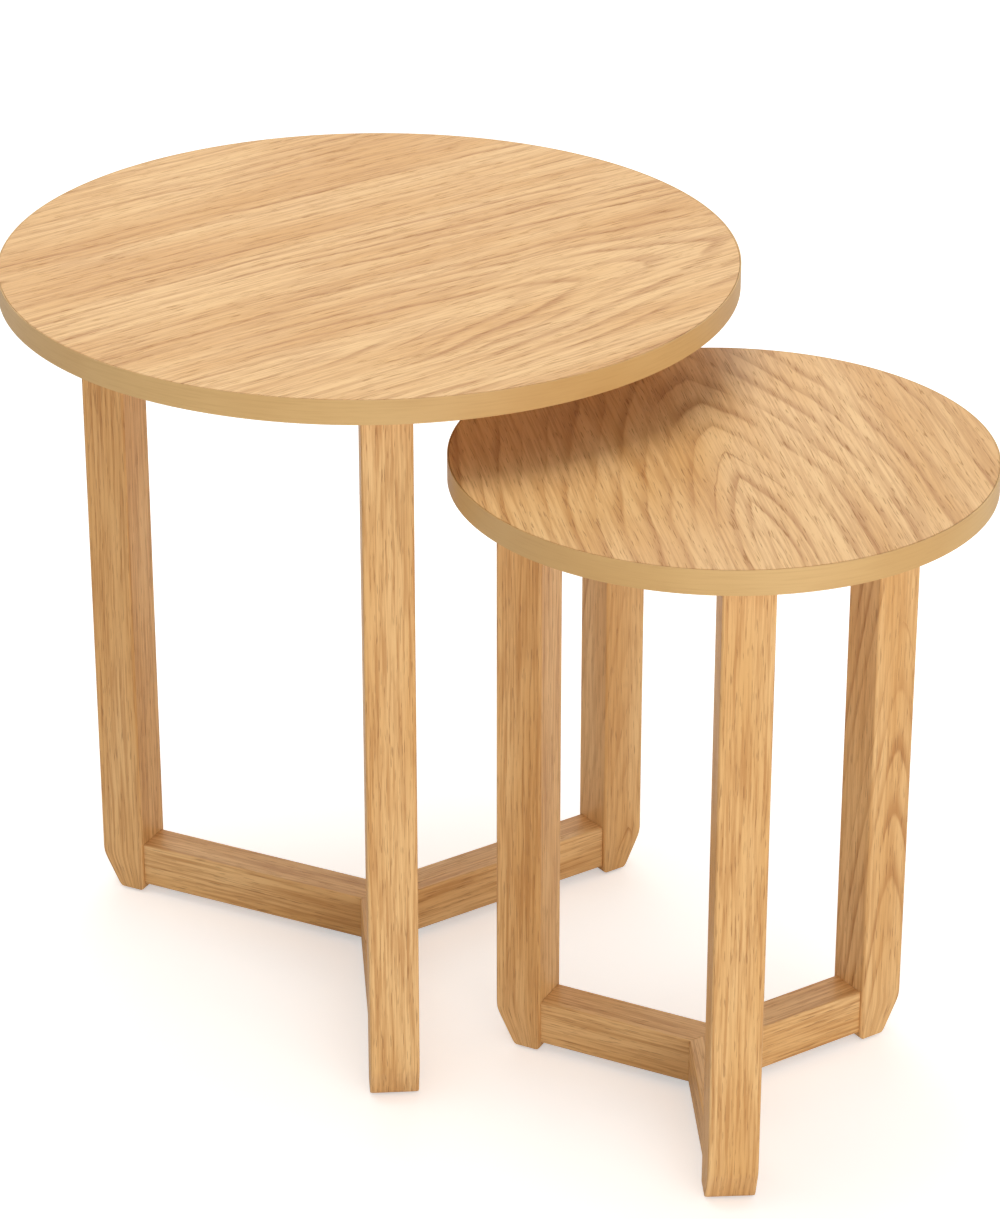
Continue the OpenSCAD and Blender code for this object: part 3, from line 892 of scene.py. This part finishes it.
# %% Metals
DRAWN = (2200.0, 160.0, 2200.0)
CAST = (900.0, 900.0, 900.0)


def metal(name, bright, dull, roughness, squeeze, depth):
    """Bare or plated metal. squeeze says how the grain is drawn out along each axis."""
    material, tree, shader = blank(name, metallic=1.0)
    own = own_place(tree)
    crystals = noise(tree, stretched(tree, own, *squeeze), 3.0, 0.6)
    clouds = noise(tree, stretched(tree, own, 120.0, 120.0, 120.0), 3.0)
    shade = calc(tree, "MULTIPLY", calc(tree, "ADD", crystals, clouds), 0.5)
    colour = blend_colours(tree, remap(tree, shade, 0.35, 0.65), dull, bright)
    tree.links.new(colour, shader.inputs["Base Color"])
    rough = handled(tree, own, roughness, 0.2)
    varied = calc(tree, "MULTIPLY_ADD", crystals, 0.15, rough, clamp=True)
    tree.links.new(varied, shader.inputs["Roughness"])
    give_relief(tree, shader, crystals, 0.5, depth)
    return material


PLATED = metal("plated_steel", paint(222, 224, 226), paint(176, 178, 182), 0.3, DRAWN, 0.00003)
CAST_ZINC = metal("cast_zinc", paint(190, 192, 196), paint(140, 143, 150), 0.42, CAST, 0.00008)
print("metals:", PLATED.name, "and", CAST_ZINC.name)

# %% Board, felt and beech
LIGHT_CHIP = paint(206, 178, 132)
DARK_CHIP = paint(158, 120, 78)
GLUE_GAP = paint(96, 70, 44)
DARK_WOOL = paint(92, 76, 60)
LIGHT_WOOL = paint(134, 116, 94)
BEECH_COLOURS = (paint(228, 190, 148), paint(214, 170, 124), paint(186, 138, 96), paint(160, 112, 76))


def particle_board():
    material, tree, shader = blank("particle_board", roughness=0.85)
    flat_cells = stretched(tree, own_place(tree), 420.0, 420.0, 900.0)
    chips = add(tree, "ShaderNodeTexVoronoi", {"Vector": flat_cells, "Scale": 1.0})
    kind = add(tree, "ShaderNodeSeparateXYZ", {0: chips.outputs["Color"]}).outputs[0]
    chip = blend_colours(tree, kind, LIGHT_CHIP, DARK_CHIP)
    gap = remap(tree, chips.outputs["Distance"], 0.45, 0.75)
    chip = blend_colours(tree, calc(tree, "MULTIPLY", gap, 0.6), chip, GLUE_GAP)
    tree.links.new(chip, shader.inputs["Base Color"])
    give_relief(tree, shader, calc(tree, "SUBTRACT", kind, gap), 0.6, 0.0002)
    return material


def felt():
    material, tree, shader = blank("felt", roughness=0.95)
    own = own_place(tree)
    wool = noise(tree, stretched(tree, own, 2600.0, 2600.0, 2600.0), 4.0, 0.7)
    tufts = noise(tree, stretched(tree, own, 500.0, 500.0, 500.0), 2.0)
    both = calc(tree, "MULTIPLY", calc(tree, "ADD", wool, tufts), 0.5)
    shade = blend_colours(tree, remap(tree, both, 0.35, 0.65), DARK_WOOL, LIGHT_WOOL)
    tree.links.new(shade, shader.inputs["Base Color"])
    give_relief(tree, shader, both, 0.9, 0.0003)
    return material


CHIPS = particle_board()
FELT = felt()
BEECH = oak("beech", carried, ring_width=0.003, taper=0.02, wander=0.004, ripple=0.3,
            lines=0.35, streaks=0.4, relief=0.0001, colours=BEECH_COLOURS)
for table in tables:
    finish_node(table["size"] + "_top_core", CHIPS)
    finish_node(table["size"] + "_hub_plate", PLATED)
    finish_node(table["size"] + "_cam_locks", CAST_ZINC)

# %% [markdown]
# ## Putting the fittings in place
# Each kind of fitting is one CAD node of several separate solids. The cell below finds those solids,
# and gives each a point and a direction. A second recipe then puts a copy of the fitting on every
# point and turns it to face the right way, so one good screw becomes all of them.

# %% Find the solids
FACING = "facing"


def solids_of(node):
    """The separate solids of a CAD node, each as its lowest and highest corner."""
    work = bmesh.new()
    work.from_mesh(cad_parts[node].data)
    bmesh.ops.remove_doubles(work, verts=work.verts, dist=ON_PLANE)
    unseen = set(work.verts)
    found = []
    while unseen:
        group = [unseen.pop()]
        for vert in group:
            near = {edge.other_vert(vert) for edge in vert.link_edges} & unseen
            unseen -= near
            group.extend(near)
        corners = np.array([vert.co for vert in group])
        found.append((Vector(corners.min(0)), Vector(corners.max(0))))
    work.free()
    # A set has no order of its own, so the solids are sorted to give the same result each run
    return sorted(found, key=lambda solid: tuple(solid[0]))


def places_along(node, middle, flat):
    """A point for each solid, and the way it faces: up, or outwards from the table's middle."""
    mesh = bpy.data.meshes.new(node + "_places")
    places = []
    facings = []
    for low, high in solids_of(node):
        centre = (low + high) / 2
        upright = flat or high.z - low.z > max(high.x - low.x, high.y - low.y)
        outwards = Vector((centre.x - middle.x, centre.y - middle.y, 0))
        facing = Vector((0, 0, 1)) if upright else outwards.normalized()
        places.append(centre)
        facings.append(facing)
    mesh.from_pydata(places, [], [])
    stored = mesh.attributes.new(FACING, "FLOAT_VECTOR", "POINT")
    stored.data.foreach_set("vector", np.ravel(facings))
    return mesh


print("the large hub has", len(solids_of("large_hub_screws")), "screws")

# %% Recipe: fittings
def fittings_recipe():
    tree, given, result = new_group("fittings_recipe", [
        ("Places", GEOMETRY, None), ("Fitting", OBJECT, None), ("Length", FLOAT, 0.01),
        ("Finish", MATERIAL, None)], [("Geometry", GEOMETRY)], "GeometryNodeTree")
    facing = add(tree, "GeometryNodeInputNamedAttribute", {"Name": FACING}, data_type="FLOAT_VECTOR")
    turn = add(tree, "FunctionNodeAlignRotationToVector", {"Vector": facing.outputs[0]}, axis="Z")
    fitting = add(tree, "GeometryNodeObjectInfo", {"Object": given["Fitting"]}).outputs["Geometry"]
    own = position(tree)
    bench = mark_bench(tree, fitting, vector_of(tree, own["X"], own["Z"], own["Y"]))
    down = vector_of(tree, 0.0, 0.0, calc(tree, "MULTIPLY", given["Length"], -0.5))
    centred = add(tree, "GeometryNodeTransform", {"Geometry": bench, "Translation": down}).outputs[0]
    copies = add(tree, "GeometryNodeInstanceOnPoints", {
        "Points": given["Places"], "Instance": centred, "Rotation": turn.outputs[0]})
    return end_recipe(tree, copies.outputs[0], given["Finish"], result)


FITTINGS_RECIPE = fittings_recipe()

# %% Place the fittings
# Name, recipe, finish, slot, and whether it lies flat or has a length of its own
KINDS = (
    ("hub_screws", SCREW_RECIPE, PLATED, "steel", False),
    ("cam_bolts", BOLT_RECIPE, PLATED, "steel", False),
    ("leg_dowels", DOWEL_RECIPE, BEECH, "beech", False),
    ("rail_dowels", DOWEL_RECIPE, BEECH, "beech", False),
    ("felt_pads", PAD_RECIPE, FELT, "felt", True),
)
for kind, recipe, finish, slot, flat in KINDS:
    sides = [high - low for low, high in solids_of("large_" + kind)]
    # A solid that lies slantwise has a short box, so the longest side of them all is the true length
    length = sides[0].z if flat else max(max(side) for side in sides)
    one = grow(kind + "_one", recipe, {"Length": length, "Finish": finish})
    for table in tables:
        node = f"{table['size']}_{kind}"
        placed = grow(node + "_set", FITTINGS_RECIPE,
                      {"Fitting": one, "Length": length, "Finish": finish},
                      places_along(node, table["middle"], flat))
        stand_in(placed, table["body"], slot, node)
    bpy.data.objects.remove(one)

# %% [markdown]
# ## Floor and light
# The tables stand on seamless white paper. A large softbox overhead throws the soft shadow of the large
# rim onto the small top. A low, wide one from the front right lights the fronts of the legs, and a
# cream one behind warms the far edges. The world fills in the rest. A camera sees the paper and the
# world brighter than they light the tables, as when a studio background has a lamp of its own.

# %% Floor
FLOOR_HALF = 12.0
PAPER_WHITE = (0.93, 0.93, 0.93, 1)
PAPER_SHADE = (0.91, 0.91, 0.91, 1)
PAPER_GLOW = 0.42


def seamless_paper():
    material, tree, shader = blank("paper", roughness=0.9)
    fibres = noise(tree, stretched(tree, own_place(tree), 40.0, 40.0, 40.0), 3.0)
    white = blend_colours(tree, fibres, PAPER_WHITE, PAPER_SHADE)
    tree.links.new(white, shader.inputs["Base Color"])
    seen = add(tree, "ShaderNodeLightPath").outputs["Is Camera Ray"]
    shader.inputs["Emission Color"].default_value = (1, 1, 1, 1)
    tree.links.new(calc(tree, "MULTIPLY", seen, PAPER_GLOW), shader.inputs["Emission Strength"])
    return material


floor_mesh = bpy.data.meshes.new("floor")
corners = [(-1, -1), (1, -1), (1, 1), (-1, 1)]
floor_mesh.from_pydata([(x * FLOOR_HALF, y * FLOOR_HALF, 0) for x, y in corners], [], [(0, 1, 2, 3)])
floor_mesh.materials.append(seamless_paper())
put_in_scene("floor", floor_mesh)
print("floor", FLOOR_HALF * 2, "m wide")

# %% World
FILL = 0.58
SEEN = 1.6
DAY_WHITE = (1.0, 0.985, 0.96, 1)
world = bpy.data.worlds.new("studio")
bpy.context.scene.world = world
world.use_nodes = True
studio = world.node_tree
seen = add(studio, "ShaderNodeLightPath").outputs["Is Camera Ray"]
sky = studio.nodes["Background"].inputs
sky["Color"].default_value = DAY_WHITE
studio.links.new(remap(studio, seen, 0.0, 1.0, FILL, SEEN, smooth=False), sky["Strength"])
print("the world lights with strength", FILL, "and looks like", SEEN)

# %% Softboxes
def softbox(name, place, aim, size, power, tint):
    light = bpy.data.lights.new(name, "AREA")
    light.shape = "RECTANGLE"
    light.size, light.size_y = size
    light.energy = power
    light.color = tint
    lamp = put_in_scene(name, light)
    lamp.location = place
    lamp.rotation_euler = (Vector(aim) - Vector(place)).to_track_quat("-Z", "Y").to_euler()
    print(name, "light at", place, power, "W")


WARM_WHITE = (1.0, 0.97, 0.92)
CREAM = (1.0, 0.94, 0.82)
ON_TABLES = (0, 0, 0.35)
ON_FEET = (0, 0, 0.12)
softbox("overhead", (-0.2, 0.2, 2.6), ON_TABLES, (1.9, 1.4), 24, WARM_WHITE)
softbox("back", (0.3, 3.2, 2.0), ON_TABLES, (3.0, 1.2), 16, CREAM)
softbox("front", (1.2, -2.8, 0.65), ON_FEET, (2.2, 1.2), 37, WARM_WHITE)
bpy.context.scene.view_settings.view_transform = "Standard"
